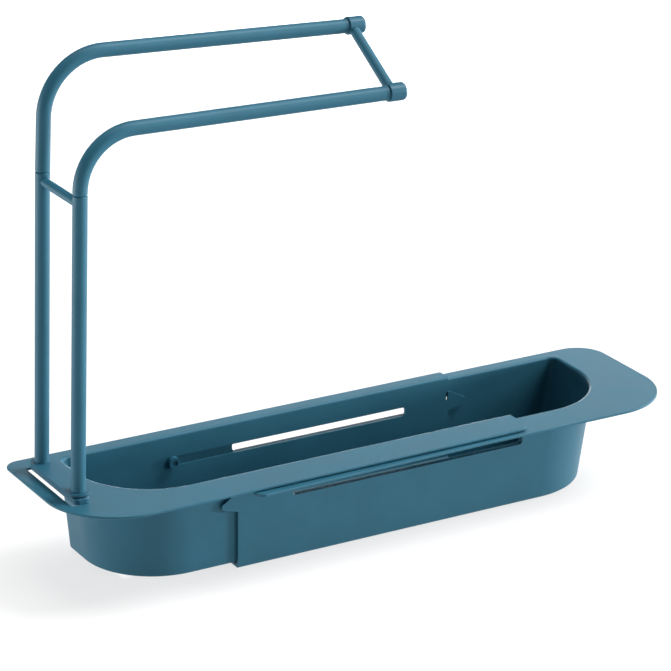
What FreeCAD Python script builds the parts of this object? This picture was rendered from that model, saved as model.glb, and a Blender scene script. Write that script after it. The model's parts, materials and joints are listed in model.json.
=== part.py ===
import FreeCAD, Part
import os
import Sketcher

# Telescopic sink caddy: two nested tray halves that hang on their lips, and a two-rail towel rack.
# Millimetres. Z is up, X runs along the tray, Y from front to back.
# The origin is under the middle of the closed caddy, on the surface that it can stand on.

os.makedirs("parts", exist_ok=True)
doc = FreeCAD.newDocument("SinkCaddy")
sheet = doc.addObject("Spreadsheet::Sheet", "Sizes")

# Driving sizes: name, value, what it is
SIZES = (
    ("closed_length", 416.1, "over both end lips, pushed together"),
    ("left_setback", 113.1, "open end of the left half, back from the right lip edge"),
    ("right_setback", 112.6, "open end of the right half, back from the left lip edge"),
    ("kept_overlap", 35.4, "what stays nested when the right half is slid out"),
    ("tray_height", 59.7, "underside of the right half to the top of the left lip"),
    ("lip_width", 109.2, "left lip, front to back"),
    ("lip_overhang", 0.3, "right lip stands out past the left one, front"),
    ("lip_back_overhang", 1.1, "right lip stands out past the left one, back"),
    ("lip_offset", 1.3, "middle line of the left lip behind the origin, which centres the whole"),
    ("left_lip_taper", 2.7, "left lip narrows by this at its free end, front"),
    ("right_lip_flare", 3.6, "right lip widens by this at its free end, front"),
    ("flare_setback", 148.0, "right lip edge to where it begins to widen"),
    ("lip_sheet", 1.6, "left lip thickness"),
    ("under_lip_sheet", 1.6, "right lip thickness"),
    ("lip_gap", 0.6, "between the two lips"),
    ("back_rim", 9.9, "lip edge to basin, back"),
    ("front_rim", 27.3, "lip edge to basin, front"),
    ("left_end_rim", 33.2, "lip edge to basin, left end"),
    ("right_end_rim", 31.8, "lip edge to basin, right end"),
    ("wall_sheet", 1.8, "tub wall and floor thickness"),
    ("nest_gap", 0.5, "between the nested side walls"),
    ("floor_gap", 1.3, "between the nested floors"),
    ("side_inset", 1.4, "draft of the long walls, top to floor"),
    ("left_end_inset", 4.5, "draft of the left end wall"),
    ("right_end_inset", 9.5, "draft of the right end wall"),
    ("front_corner", 50.0, "basin corner radius, front"),
    ("left_floor_corner", 44.5, "the same corner at the left floor"),
    ("right_floor_corner", 48.5, "the same corner at the right floor"),
    ("end_straight", 3.0, "least straight part of an end wall between its corners"),
    ("back_corner", 5.0, "basin corner radius, back"),
    ("left_lip_front_corner", 46.0, "left lip corner radius, front"),
    ("right_lip_front_corner", 45.0, "right lip corner radius, front"),
    ("left_lip_back_corner", 9.0, "left lip corner radius, back"),
    ("right_lip_back_corner", 20.0, "right lip corner radius, back"),
    ("lip_tail_corner", 8.0, "lip corner at its free end, front"),
    ("lip_tail_back_corner", 4.0, "lip corner at its free end, back"),
    ("rim_round", 1.6, "rounding from lip to basin"),
    ("edge_round", 0.5, "rounding of the lip's outer edge"),
    ("left_base_round", 1.2, "rounding under the left tub"),
    ("right_base_round", 1.4, "rounding under the right tub"),
    ("floor_round", 2.0, "rounding round the floors"),
    ("tail_bite", 0.5, "tail corner centres stand this far out, so that the cut crosses the edges"),
    ("slot_middle", 42.5, "height of the wall slots"),
    ("slot_height", 5.8, "wall slot, top to bottom"),
    ("slot_corner", 2.2, "corner radius of the wall slots"),
    ("slot_overrun", 6.0, "left slots run on past the stop"),
    ("peg_diameter", 5.2, "pegs and pin shanks in the slots"),
    ("peg_clearance", 0.6, "end clearance of a peg in its slot"),
    ("peg_recess", 0.6, "peg end inside the outer face of the right half"),
    ("left_peg_reach", 4.6, "peg axis past the open end of the left half"),
    ("right_pin_reach", 5.3, "pin axis past the open end of the right half"),
    ("left_ear_length", 13.9, "stop ear past the open end, left half"),
    ("right_ear_length", 10.8, "stop ear past the open end, right half"),
    ("ear_root_top", 50.4, "height of the ear at its root, top"),
    ("ear_root_bottom", 36.9, "height of the ear at its root, bottom"),
    ("ear_tip_top", 44.3, "height of the ear at its tip, top"),
    ("ear_tip_bottom", 39.1, "height of the ear at its tip, bottom"),
    ("slit_width", 1.4, "relief slit at the root of the left ears"),
    ("slit_height", 5.9, "length of that slit"),
    ("slit_bottom", 43.7, "height of the slit's lower end"),
    ("pin_head_diameter", 7.4, "stop pin head"),
    ("pin_head_length", 3.6, "stop pin head, along the pin"),
    ("pin_dimple_diameter", 3.6, "hollow in the pin head"),
    ("pin_dimple_depth", 0.9, "depth of that hollow"),
    ("pin_seat_depth", 1.2, "pin shank sunk into the ear"),
    ("pin_seat_clearance", 0.05, "around the shank in the ear"),
    ("head_clearance", 0.3, "under the pin head"),
    ("drain_pitch", 26.0, "drain slots along the floor"),
    ("drain_width", 4.0, "drain slot width"),
    ("drain_length", 36.0, "drain slot length"),
    ("drain_corner", 1.6, "drain slot corner radius"),
    ("left_drain_margin", 18.85, "first drain slot to the left basin's end"),
    ("right_drain_margin", 20.25, "first drain slot to the right basin's end"),
    ("drain_tail", 8.0, "least distance of a drain slot to the open end"),
    ("rack_inset", 16.4, "post axis to the left lip edge"),
    ("rack_lean", 2.2, "posts lean towards the tray, degrees"),
    ("post_spacing", 50.0, "between the two posts"),
    ("tube_diameter", 8.7, "posts and rails"),
    ("joint_height", 183.5, "lip to the top of the posts, along the post"),
    ("front_rail_height", 217.9, "lip to the front rail's axis, where it would meet the post"),
    ("front_rail_end", 221.7, "lip to the front rail's axis, at its free end"),
    ("front_rail_sway", 0.15, "front rail's corner past the post axis"),
    ("front_bend_radius", 33.5, "front rail bend, on the axis"),
    ("rear_rail_height", 251.2, "lip to the rear rail's axis, where it would meet the post"),
    ("rear_rail_end", 249.9, "lip to the rear rail's axis, at its free end"),
    ("rear_rail_sway", 1.0, "rear rail's corner past the post axis"),
    ("rear_bend_radius", 36.5, "rear rail bend, on the axis"),
    ("rail_reach", 202.3, "post axis to the rail's end"),
    ("spigot_diameter", 5.4, "spigots of posts and rails"),
    ("spigot_clearance", 0.1, "around a spigot in its socket"),
    ("rail_spigot_length", 12.0, "rail spigot in the post"),
    ("post_spigot_length", 5.6, "post spigot in the foot"),
    ("joint_chamfer", 0.6, "groove where rail and post meet"),
    ("crossbar_drop", 5.6, "crossbar axis under the post joint"),
    ("crossbar_diameter", 5.6, "rod between the posts"),
    ("crossbar_seat", 1.0, "rod sunk into each post"),
    ("cap_diameter", 10.8, "sleeves on the rail ends"),
    ("cap_length", 11.5, "the same sleeves, along the rail"),
    ("cap_socket", 5.8, "rail inside its sleeve"),
    ("cap_clearance", 0.1, "around the rail in its sleeve"),
    ("cap_round", 2.2, "rounded closed end of the sleeve"),
    ("bar_diameter", 6.2, "rod between the sleeves"),
    ("bar_margin", 0.2, "rod seat to the mouth of the sleeve"),
    ("bar_seat", 0.55, "rod sunk into each sleeve"),
    ("rod_clearance", 0.1, "around a rod in its seat"),
    ("plate_left", 5.0, "foot plate, post axis to left side"),
    ("plate_right", 4.6, "foot plate, post axis to right side"),
    ("plate_half", 32.3, "foot plate, half its length"),
    ("plate_sheet", 3.4, "top of the foot plate over the lip"),
    ("plate_corner", 3.0, "foot plate corner radius"),
    ("foot_gap", 0.15, "foot plate over the lip"),
    ("tongue_left", 1.0, "hooked tabs of the foot, post axis to left side"),
    ("tongue_sheet", 2.6, "hooked tabs, along X"),
    ("tongue_half", 31.6, "middle of the foot to the far side of a tab"),
    ("tongue_length", 9.2, "hooked tabs, along Y"),
    ("tongue_play", 0.5, "tab to the right edge of the slot"),
    ("tongue_end_play", 0.7, "tab to its end of the slot"),
    ("web_half", 3.0, "web between slab and deck, half its width"),
    ("deck_half", 6.5, "deck that carries the posts, half its width"),
    ("deck_corner", 6.2, "corner radius of the deck"),
    ("deck_sheet", 1.2, "deck thickness"),
    ("deck_top", 5.8, "top of the deck over the lip"),
    ("release_travel", 2.3, "rack slides this far to come free"),
    ("release_play", 3.95, "left over at the end of that slide"),
    ("hook_sheet", 2.0, "hook under the lip, thickness"),
    ("hook_gap", 0.3, "hook under the lip, clearance"),
    ("hook_catch", 2.1, "hook under the lip, overlap"),
    ("collar_diameter", 9.6, "post collars on the foot"),
    ("collar_base", 1.0, "underside of a collar over the lip"),
    ("collar_top", 6.4, "top of a collar, along the post"),
    ("trim_margin", 5.0, "how far cuts run past the material"),
)

# Places worked out from the driving sizes
PLACES = (
    ("left_edge", "-closed_length / 2"),
    ("right_edge", "closed_length / 2"),
    ("left_end", "right_edge - left_setback"),
    ("right_end", "left_edge + right_setback"),
    ("tray_travel", "left_end - right_end - kept_overlap"),
    ("lip_front", "lip_offset - lip_width / 2"),
    ("lip_back", "lip_offset + lip_width / 2"),
    ("under_front", "lip_front - lip_overhang"),
    ("under_back", "lip_back + lip_back_overhang"),
    ("lip_under", "tray_height - lip_sheet"),
    ("under_top", "lip_under - lip_gap"),
    ("under_bottom", "under_top - under_lip_sheet"),
    ("left_base_z", "wall_sheet + floor_gap"),
    ("left_floor_z", "left_base_z + wall_sheet"),
    ("left_shell_z", "tray_height - lip_sheet / 2"),
    ("left_rim_z", "tray_height + lip_gap"),
    ("right_shell_z", "under_top - under_lip_sheet / 2"),
    ("right_rim_z", "under_top + lip_gap"),
    ("ear_nose", "(ear_tip_top - ear_tip_bottom) / 2"),
    ("ear_middle", "(ear_tip_top + ear_tip_bottom) / 2"),
    ("ear_bevel_top", "ear_middle + ear_nose * cos(45 deg)"),
    ("ear_bevel_bottom", "ear_middle - ear_nose * cos(45 deg)"),
    # Left tub: inner outline at the rim, outer shell, inner floor, outer base
    ("left_rim_west", "left_edge + left_end_rim"),
    ("left_rim_south", "lip_front + front_rim"),
    ("left_rim_north", "lip_back - back_rim"),
    ("left_shell_west", "left_rim_west - wall_sheet"),
    ("left_shell_south", "left_rim_south - wall_sheet"),
    ("left_shell_north", "left_rim_north + wall_sheet"),
    ("left_floor_west", "left_rim_west + left_end_inset"),
    ("left_floor_south", "left_rim_south + side_inset"),
    ("left_floor_north", "left_rim_north - side_inset"),
    ("left_base_west", "left_floor_west - wall_sheet"),
    ("left_base_south", "left_floor_south - wall_sheet"),
    ("left_base_north", "left_floor_north + wall_sheet"),
    ("left_ear_tip", "left_end + left_ear_length"),
    ("left_past", "left_ear_tip + trim_margin"),
    ("left_beyond", "left_past + trim_margin"),
    ("left_ear_neck", "left_ear_tip - ear_nose"),
    ("left_ear_bevel", "left_ear_neck + ear_nose * cos(45 deg)"),
    ("left_tail_front_x", "left_end - lip_tail_corner + tail_bite"),
    ("left_tail_edge", "lip_front + left_lip_taper"),
    ("left_far_front", "lip_front + left_lip_taper * (left_past - left_edge) / (left_end - left_edge)"),
    ("left_tail_front_y", "left_tail_edge + lip_tail_corner - tail_bite"),
    ("left_tail_back_x", "left_end - lip_tail_back_corner + tail_bite"),
    ("left_tail_back_y", "lip_back - lip_tail_back_corner + tail_bite"),
    ("left_clear_front", "lip_front - trim_margin"),
    ("left_clear_back", "lip_back + trim_margin"),
    # Right tub: the same outlines, one wall and one gap further out
    ("right_rim_east", "right_edge - right_end_rim"),
    ("right_rim_south", "left_shell_south - nest_gap"),
    ("right_rim_north", "left_shell_north + nest_gap"),
    ("right_shell_east", "right_rim_east + wall_sheet"),
    ("right_shell_south", "right_rim_south - wall_sheet"),
    ("right_shell_north", "right_rim_north + wall_sheet"),
    ("right_floor_east", "right_rim_east - right_end_inset"),
    ("right_floor_south", "right_rim_south + side_inset"),
    ("right_floor_north", "right_rim_north - side_inset"),
    ("right_base_east", "right_floor_east + wall_sheet"),
    ("right_base_south", "right_floor_south - wall_sheet"),
    ("right_base_north", "right_floor_north + wall_sheet"),
    ("right_ear_tip", "right_end - right_ear_length"),
    ("right_past", "right_ear_tip - trim_margin"),
    ("right_beyond", "right_past - trim_margin"),
    ("right_ear_neck", "right_ear_tip + ear_nose"),
    ("right_ear_bevel", "right_ear_neck - ear_nose * cos(45 deg)"),
    ("right_tail_front_x", "right_end + lip_tail_corner - tail_bite"),
    ("right_tail_edge", "under_front - right_lip_flare"),
    ("flare_start", "right_edge - flare_setback"),
    ("right_far_front", "under_front - right_lip_flare * (flare_start - right_past) / (flare_start - right_end)"),
    ("right_tail_front_y", "right_tail_edge + lip_tail_corner - tail_bite"),
    ("right_tail_back_x", "right_end + lip_tail_back_corner - tail_bite"),
    ("right_tail_back_y", "under_back - lip_tail_back_corner + tail_bite"),
    ("right_clear_front", "right_tail_edge - trim_margin"),
    ("right_clear_back", "under_back + trim_margin"),
    ("left_corner_room", "left_floor_north - left_floor_south - back_corner - end_straight"),
    ("right_corner_room", "right_floor_north - right_floor_south - back_corner - end_straight"),
    ("left_rim_bend", "min(front_corner; left_corner_room)"),
    ("right_rim_bend", "min(front_corner; right_corner_room)"),
    ("left_floor_bend", "min(left_floor_corner; left_corner_room)"),
    ("right_floor_bend", "min(right_floor_corner; right_corner_room)"),
    ("left_shell_bend", "left_rim_bend + wall_sheet"),
    ("right_shell_bend", "right_rim_bend + wall_sheet"),
    ("left_base_bend", "left_floor_bend + wall_sheet"),
    ("right_base_bend", "right_floor_bend + wall_sheet"),
    ("back_corner_out", "back_corner + wall_sheet"),
    ("below_all", "-trim_margin"),
    ("above_all", "tray_height + trim_margin"),
    ("tail_depth", "above_all - under_bottom + trim_margin"),
    # Slots, pegs and pins
    ("left_peg_x", "left_end + left_peg_reach"),
    ("right_pin_x", "right_end - right_pin_reach"),
    ("slot_bottom", "slot_middle - slot_height / 2"),
    ("slot_top", "slot_middle + slot_height / 2"),
    ("slot_end", "peg_diameter / 2 + peg_clearance"),
    ("left_slot_west", "right_pin_x - slot_end"),
    ("left_slot_east", "right_pin_x + tray_travel + slot_end + slot_overrun"),
    ("right_slot_west", "left_peg_x - tray_travel - slot_end"),
    ("right_slot_east", "left_peg_x + slot_end"),
    ("slit_west", "left_end - slit_width"),
    ("slit_top", "slit_bottom + slit_height"),
    ("left_draft", "side_inset * (left_rim_z - slot_middle) / (left_rim_z - left_floor_z)"),
    ("right_draft", "side_inset * (right_rim_z - slot_middle) / (right_rim_z - wall_sheet)"),
    ("left_back_face", "left_rim_north - left_draft"),
    ("left_front_face", "left_rim_south + left_draft"),
    ("right_back_face", "right_rim_north - right_draft"),
    ("right_front_face", "right_rim_south + right_draft"),
    ("peg_length", "wall_sheet / 2 + nest_gap + wall_sheet - peg_recess"),
    ("peg_back_start", "left_back_face + wall_sheet / 2"),
    ("seat_back", "right_back_face + pin_seat_depth"),
    ("seat_front", "right_front_face - pin_seat_depth"),
    ("seat_cut", "pin_seat_depth + nest_gap"),
    ("seat_diameter", "peg_diameter + 2 * pin_seat_clearance"),
    ("pin_radius", "peg_diameter / 2"),
    ("pin_head_radius", "pin_head_diameter / 2"),
    ("pin_dimple_radius", "pin_dimple_diameter / 2"),
    ("rear_pin_tip", "seat_back"),
    ("rear_pin_shoulder", "left_back_face - head_clearance"),
    ("rear_pin_top", "rear_pin_shoulder - pin_head_length"),
    ("rear_pin_dimple", "rear_pin_top + pin_dimple_depth"),
    ("front_pin_tip", "seat_front"),
    ("front_pin_shoulder", "left_front_face + head_clearance"),
    ("front_pin_top", "front_pin_shoulder + pin_head_length"),
    ("front_pin_dimple", "front_pin_top - pin_dimple_depth"),
    # Drain slots; the two rows lie over each other when the caddy is closed
    ("drain_half", "drain_width / 2"),
    ("left_drain_first", "left_rim_west + left_drain_margin"),
    ("left_drain_west", "left_drain_first - drain_half"),
    ("left_drain_east", "left_drain_first + drain_half"),
    ("right_drain_first", "right_rim_east - right_drain_margin"),
    ("right_drain_west", "right_drain_first - drain_half"),
    ("right_drain_east", "right_drain_first + drain_half"),
    ("drain_middle", "(left_rim_south + left_rim_north) / 2"),
    ("front_slot_depth", "drain_middle - lip_front"),
    ("drain_south", "drain_middle - drain_length / 2"),
    ("drain_north", "drain_middle + drain_length / 2"),
    ("left_drain_gaps", "floor((left_end - drain_tail - left_drain_first) / drain_pitch)"),
    ("left_drain_run", "left_drain_gaps * drain_pitch"),
    ("left_drain_count", "left_drain_gaps + 1"),
    ("right_drain_gaps", "floor((right_drain_first - right_end - drain_tail) / drain_pitch)"),
    ("right_drain_run", "right_drain_gaps * drain_pitch"),
    ("right_drain_count", "right_drain_gaps + 1"),
    # Towel rack, in its own frame: origin on the lip under the middle of the posts
    ("rack_x", "left_edge + rack_inset"),
    ("rack_y", "(left_rim_south + left_rim_north) / 2"),
    ("half_spacing", "post_spacing / 2"),
    ("rear_post_y", "rack_y + half_spacing"),
    ("front_post_y", "rack_y - half_spacing"),
    ("tube_radius", "tube_diameter / 2"),
    ("spigot_radius", "spigot_diameter / 2"),
    ("socket_radius", "spigot_radius + spigot_clearance"),
    ("joint_shoulder", "joint_height - joint_chamfer"),
    ("joint_neck", "tube_radius - joint_chamfer"),
    ("post_socket_floor", "joint_height - rail_spigot_length - spigot_clearance"),
    ("post_spigot_end", "collar_top - post_spigot_length"),
    ("rail_spigot_end", "joint_height - rail_spigot_length"),
    ("rail_spigot_pad", "rail_spigot_length + tube_radius"),
    ("crossbar_z", "joint_height - crossbar_drop"),
    ("crossbar_plane", "tube_radius - crossbar_seat"),
    ("crossbar_length", "post_spacing - 2 * crossbar_plane"),
    ("crossbar_hole", "crossbar_diameter + 2 * rod_clearance"),
    ("crossbar_cut", "crossbar_seat + tube_radius"),
    ("cap_radius", "cap_diameter / 2"),
    ("cap_bore", "tube_radius + cap_clearance"),
    ("cap_mouth", "-cap_socket"),
    ("cap_floor", "cap_clearance"),
    ("cap_end", "cap_length - cap_socket"),
    ("bar_radius", "bar_diameter / 2"),
    ("seat_radius", "bar_radius + rod_clearance"),
    ("bar_x", "rail_reach - cap_socket + seat_radius + bar_margin"),
    ("front_rail_drop", "(front_rail_end - front_rail_height) / (rail_reach - front_rail_sway)"),
    ("rear_rail_drop", "(rear_rail_end - rear_rail_height) / (rail_reach - rear_rail_sway)"),
    ("front_bar_z", "front_rail_end - front_rail_drop * (rail_reach - bar_x)"),
    ("rear_bar_z", "rear_rail_end - rear_rail_drop * (rail_reach - bar_x)"),
    ("bar_rise", "rear_bar_z - front_bar_z"),
    ("bar_span", "sqrt(post_spacing ^ 2 + bar_rise ^ 2)"),
    ("bar_middle_z", "(rear_bar_z + front_bar_z) / 2"),
    ("bar_half", "bar_span / 2 - cap_radius + bar_seat"),
    ("bar_half_back", "-bar_half"),
    ("seat_outer", "bar_half - bar_seat - cap_radius"),
    ("seat_outer_back", "-seat_outer"),
    # Foot of the rack, level on the lip
    ("plate_west", "-plate_left"),
    ("plate_south", "-plate_half"),
    ("plate_thick", "plate_sheet - foot_gap"),
    ("tongue_west", "-tongue_left"),
    ("tongue_east", "tongue_west + tongue_sheet"),
    ("tongue_south", "-tongue_half"),
    ("front_tab_end", "tongue_south + tongue_length"),
    ("rear_tab_end", "tongue_half - tongue_length"),
    ("web_west", "-web_half"),
    ("web_north", "half_spacing"),
    ("web_south", "-half_spacing"),
    ("web_height", "deck_top - plate_sheet"),
    ("deck_west", "-deck_half"),
    ("deck_north", "half_spacing + deck_half"),
    ("deck_south", "-deck_north"),
    ("deck_base", "deck_top - deck_sheet"),
    ("hook_bottom", "-(lip_sheet + hook_gap + hook_sheet)"),
    ("tongue_height", "foot_gap - hook_bottom + plate_thick / 2"),
    ("slot_east_local", "tongue_east + tongue_play"),
    ("hook_east", "slot_east_local + hook_catch"),
    ("rack_slot_west", "rack_x + tongue_west - release_travel - release_play"),
    ("rack_slot_east", "rack_x + slot_east_local"),
    ("rack_slot_south", "rack_y - tongue_half - tongue_end_play"),
    ("rack_slot_north", "rack_y + tongue_half + tongue_end_play"),
    ("collar_radius", "collar_diameter / 2"),
    ("collar_floor", "post_spigot_end - spigot_clearance"),
)


def fill_sheet():
    """Writes the driving sizes as numbers and the places as formulas, each under its name."""
    row = 1
    for alias, number, note in SIZES:
        sheet.set("A%d" % row, note)
        sheet.set("B%d" % row, str(number))
        sheet.setAlias("B%d" % row, alias)
        row += 1
    for alias, formula in PLACES:
        sheet.set("B%d" % row, "=" + formula)
        sheet.setAlias("B%d" % row, alias)
        row += 1
    doc.recompute()


fill_sheet()


def val(alias):
    """The present value of a named size."""
    return float(sheet.get(alias))


def ref(alias):
    """The name of a size as an expression sees it."""
    return "Sizes." + alias


def new_body(name):
    body = doc.addObject("PartDesign::Body", name)
    body.Label = name
    return body


def origin_item(body, role):
    return [item for item in body.Origin.OriginFeatures if item.Role == role][0]


def sketch_on(body, role, name, height=""):
    """Empty sketch on an origin plane of the body, moved along the plane's normal."""
    sk = body.newObject("Sketcher::SketchObject", name)
    sk.AttachmentSupport = (origin_item(body, role), [""])
    sk.MapMode = "FlatFace"
    if height:
        sk.setExpression("AttachmentOffset.Base.z", height)
    return sk


def measure(sk, constraint, formula):
    """Adds a dimension to a sketch and ties it to the sheet."""
    index = sk.addConstraint(constraint)
    sk.setExpression("Constraints[%d]" % index, formula)


def locate(sk, kind, geo, point, alias):
    """Ties one coordinate of a point to a named place; no name means on the axis."""
    if not alias:
        axis = -2 if kind == "DistanceX" else -1
        sk.addConstraint(Sketcher.Constraint("PointOnObject", geo, point, axis))
        return
    here = val(alias)
    if here >= 0:
        measure(sk, Sketcher.Constraint(kind, -1, 1, geo, point, here), ref(alias))
    else:
        measure(sk, Sketcher.Constraint(kind, geo, point, -1, 1, -here), "-" + ref(alias))


def line(sk, x0, y0, x1, y1):
    return sk.addGeometry(Part.LineSegment(FreeCAD.Vector(x0, y0, 0), FreeCAD.Vector(x1, y1, 0)), False)


def arc(sk, x, y, radius, start, stop):
    circle = Part.Circle(FreeCAD.Vector(x, y, 0), FreeCAD.Vector(0, 0, 1), radius)
    return sk.addGeometry(Part.ArcOfCircle(circle, start, stop), False)


QUARTER = 1.5707963267948966


def outline(sk, west, east, south, north, radii, far_south="", kink=""):
    """Closed four-sided outline; radii names the corners from south-west on, empty for a sharp one.

    With far_south the south side is slanted: it runs from the south-west corner to that place at its east end.
    With a kink as well it is straight from the east to there, and slanted on to that place at its west end.
    """
    w, e, s, n = val(west), val(east), val(south), val(north)
    r = [val(name) if name else 0.0 for name in radii]
    sides = [
        line(sk, w + r[0], s, val(kink) if kink else e - r[1], s),
        line(sk, e, s + r[1], e, n - r[2]),
        line(sk, e - r[2], n, w + r[3], n),
        line(sk, w, n - r[3], w, s + r[0]),
    ]
    lead = line(sk, val(kink), s, e - r[1], s) if kink else sides[0]
    centres = [(w + r[0], s + r[0]), (e - r[1], s + r[1]), (e - r[2], n - r[2]), (w + r[3], n - r[3])]
    for i in range(4):
        before, after = lead if i == 1 else sides[i - 1], sides[i]
        if r[i]:
            turn = (i + 2) % 4
            bend = arc(sk, centres[i][0], centres[i][1], r[i], turn * QUARTER, (turn + 1) * QUARTER)
            sk.addConstraint(Sketcher.Constraint("Tangent", before, 2, bend, 1))
            sk.addConstraint(Sketcher.Constraint("Tangent", bend, 2, after, 1))
            measure(sk, Sketcher.Constraint("Radius", bend, r[i]), ref(radii[i]))
        else:
            sk.addConstraint(Sketcher.Constraint("Coincident", before, 2, after, 1))
    for i, kind in enumerate(("Horizontal", "Vertical", "Horizontal", "Vertical")):
        if i or not far_south:
            sk.addConstraint(Sketcher.Constraint(kind, sides[i]))
    if kink:
        sk.addConstraint(Sketcher.Constraint("Horizontal", lead))
        sk.addConstraint(Sketcher.Constraint("Coincident", sides[0], 2, lead, 1))
        locate(sk, "DistanceX", lead, 1, kink)
        locate(sk, "DistanceY", lead, 1, south)
        locate(sk, "DistanceY", sides[0], 1, far_south)
    elif far_south:
        corner = sk.addGeometry(Part.Point(FreeCAD.Vector(w, s, 0)), True)
        locate(sk, "DistanceX", corner, 1, west)
        locate(sk, "DistanceY", corner, 1, south)
        sk.addConstraint(Sketcher.Constraint("PointOnObject", corner, 1, sides[0]))
        locate(sk, "DistanceY", sides[0], 2, far_south)
    else:
        locate(sk, "DistanceY", sides[0], 1, south)
    locate(sk, "DistanceX", sides[1], 1, east)
    locate(sk, "DistanceY", sides[2], 1, north)
    locate(sk, "DistanceX", sides[3], 1, west)


def polygon(sk, points):
    """Closed polygon through named places; an empty name puts the point on that axis."""
    spots = [(val(x) if x else 0.0, val(y) if y else 0.0) for x, y in points]
    count = len(spots)
    sides = []
    for i in range(count):
        here, there = spots[i], spots[(i + 1) % count]
        sides.append(line(sk, here[0], here[1], there[0], there[1]))
    for i in range(count):
        sk.addConstraint(Sketcher.Constraint("Coincident", sides[i - 1], 2, sides[i], 1))
        locate(sk, "DistanceX", sides[i], 1, points[i][0])
        locate(sk, "DistanceY", sides[i], 1, points[i][1])


def scallop(sk, centre_x, centre_y, radius, outer_x, outer_y):
    """Outline of what is cut away outside a rounded corner: a rectangle less a quarter disc."""
    cx, cy, r, ox, oy = val(centre_x), val(centre_y), val(radius), val(outer_x), val(outer_y)
    east, north = ox > cx, oy > cy
    turn = {(True, True): 0, (False, True): 1, (False, False): 2, (True, False): 3}[(east, north)]
    bend = arc(sk, cx, cy, r, turn * QUARTER, (turn + 1) * QUARTER)
    on_x, on_y = (1, 2) if east == north else (2, 1)
    level = line(sk, cx + (r if east else -r), cy, ox, cy)
    upright = line(sk, ox, cy, ox, oy)
    far = line(sk, ox, oy, cx, oy)
    back = line(sk, cx, oy, cx, cy + (r if north else -r))
    for first, second in ((level, upright), (upright, far), (far, back)):
        sk.addConstraint(Sketcher.Constraint("Coincident", first, 2, second, 1))
    sk.addConstraint(Sketcher.Constraint("Coincident", bend, on_x, level, 1))
    sk.addConstraint(Sketcher.Constraint("Coincident", bend, on_y, back, 2))
    for kind, side in (("Horizontal", level), ("Vertical", upright), ("Horizontal", far), ("Vertical", back)):
        sk.addConstraint(Sketcher.Constraint(kind, side))
    locate(sk, "DistanceX", bend, 3, centre_x)
    locate(sk, "DistanceY", bend, 3, centre_y)
    measure(sk, Sketcher.Constraint("Radius", bend, r), ref(radius))
    locate(sk, "DistanceX", upright, 2, outer_x)
    locate(sk, "DistanceY", upright, 2, outer_y)
    sk.addConstraint(Sketcher.Constraint("PointOnObject", bend, 3, level))
    sk.addConstraint(Sketcher.Constraint("PointOnObject", bend, 3, back))


def circle(sk, x, y, diameter):
    """Circle about a named place; two empty names put it on the sketch's origin."""
    spot = FreeCAD.Vector(val(x) if x else 0.0, val(y) if y else 0.0, 0)
    geo = sk.addGeometry(Part.Circle(spot, FreeCAD.Vector(0, 0, 1), val(diameter) / 2), False)
    if x or y:
        locate(sk, "DistanceX", geo, 3, x)
        locate(sk, "DistanceY", geo, 3, y)
    else:
        sk.addConstraint(Sketcher.Constraint("Coincident", geo, 3, -1, 1))
    measure(sk, Sketcher.Constraint("Diameter", geo, val(diameter)), ref(diameter))


def pad(body, sk, length, name, against=False, both=False):
    feature = body.newObject("PartDesign::Pad", name)
    feature.Profile = sk
    feature.setExpression("Length", ref(length))
    feature.Reversed = against
    if both:
        feature.SideType = "Symmetric"
    doc.recompute()
    return feature


def pocket(body, sk, name, length="", against=False):
    """Cut by a named depth, or right through to both sides when no depth is named."""
    doc.recompute()
    before = body.Tip.Shape.Volume
    feature = body.newObject("PartDesign::Pocket", name)
    feature.Profile = sk
    if length:
        feature.setExpression("Length", ref(length))
        feature.Reversed = against
    else:
        feature.SideType = "Symmetric"
        feature.Type = "ThroughAll"
    doc.recompute()
    if feature.Shape.Volume > before - 0.1:
        raise RuntimeError(name + " removed nothing")
    return feature


def loft(body, kind, lower, upper, name):
    feature = body.newObject("PartDesign::" + kind, name)
    feature.Profile = lower
    feature.Sections = [upper]
    feature.Ruled = True
    doc.recompute()
    return feature


def turned(body, kind, sk, axis, name):
    """Full turn of a sketch about one of its own axes."""
    feature = body.newObject("PartDesign::" + kind, name)
    feature.Profile = sk
    feature.ReferenceAxis = (sk, [axis])
    feature.Angle = 360.0
    doc.recompute()
    return feature


def dress(body, kind, feature, size, name, wanted):
    """Rounds or chamfers the edges of a feature that the test picks."""
    names = []
    for i, edge in enumerate(feature.Shape.Edges):
        if wanted(edge):
            names.append("Edge%d" % (i + 1))
    if not names:
        raise RuntimeError(name + ": no edges found")
    result = body.newObject("PartDesign::" + kind, name)
    result.Base = (feature, names)
    result.setExpression("Radius" if kind == "Fillet" else "Size", ref(size))
    doc.recompute()
    return result


def flat_at(edge, z):
    """True for an edge that lies wholly at one height."""
    box = edge.BoundBox
    return abs(box.ZMin - z) < 1e-3 and abs(box.ZMax - z) < 1e-3


def middle(edge):
    return edge.valueAt((edge.FirstParameter + edge.LastParameter) / 2)


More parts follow.
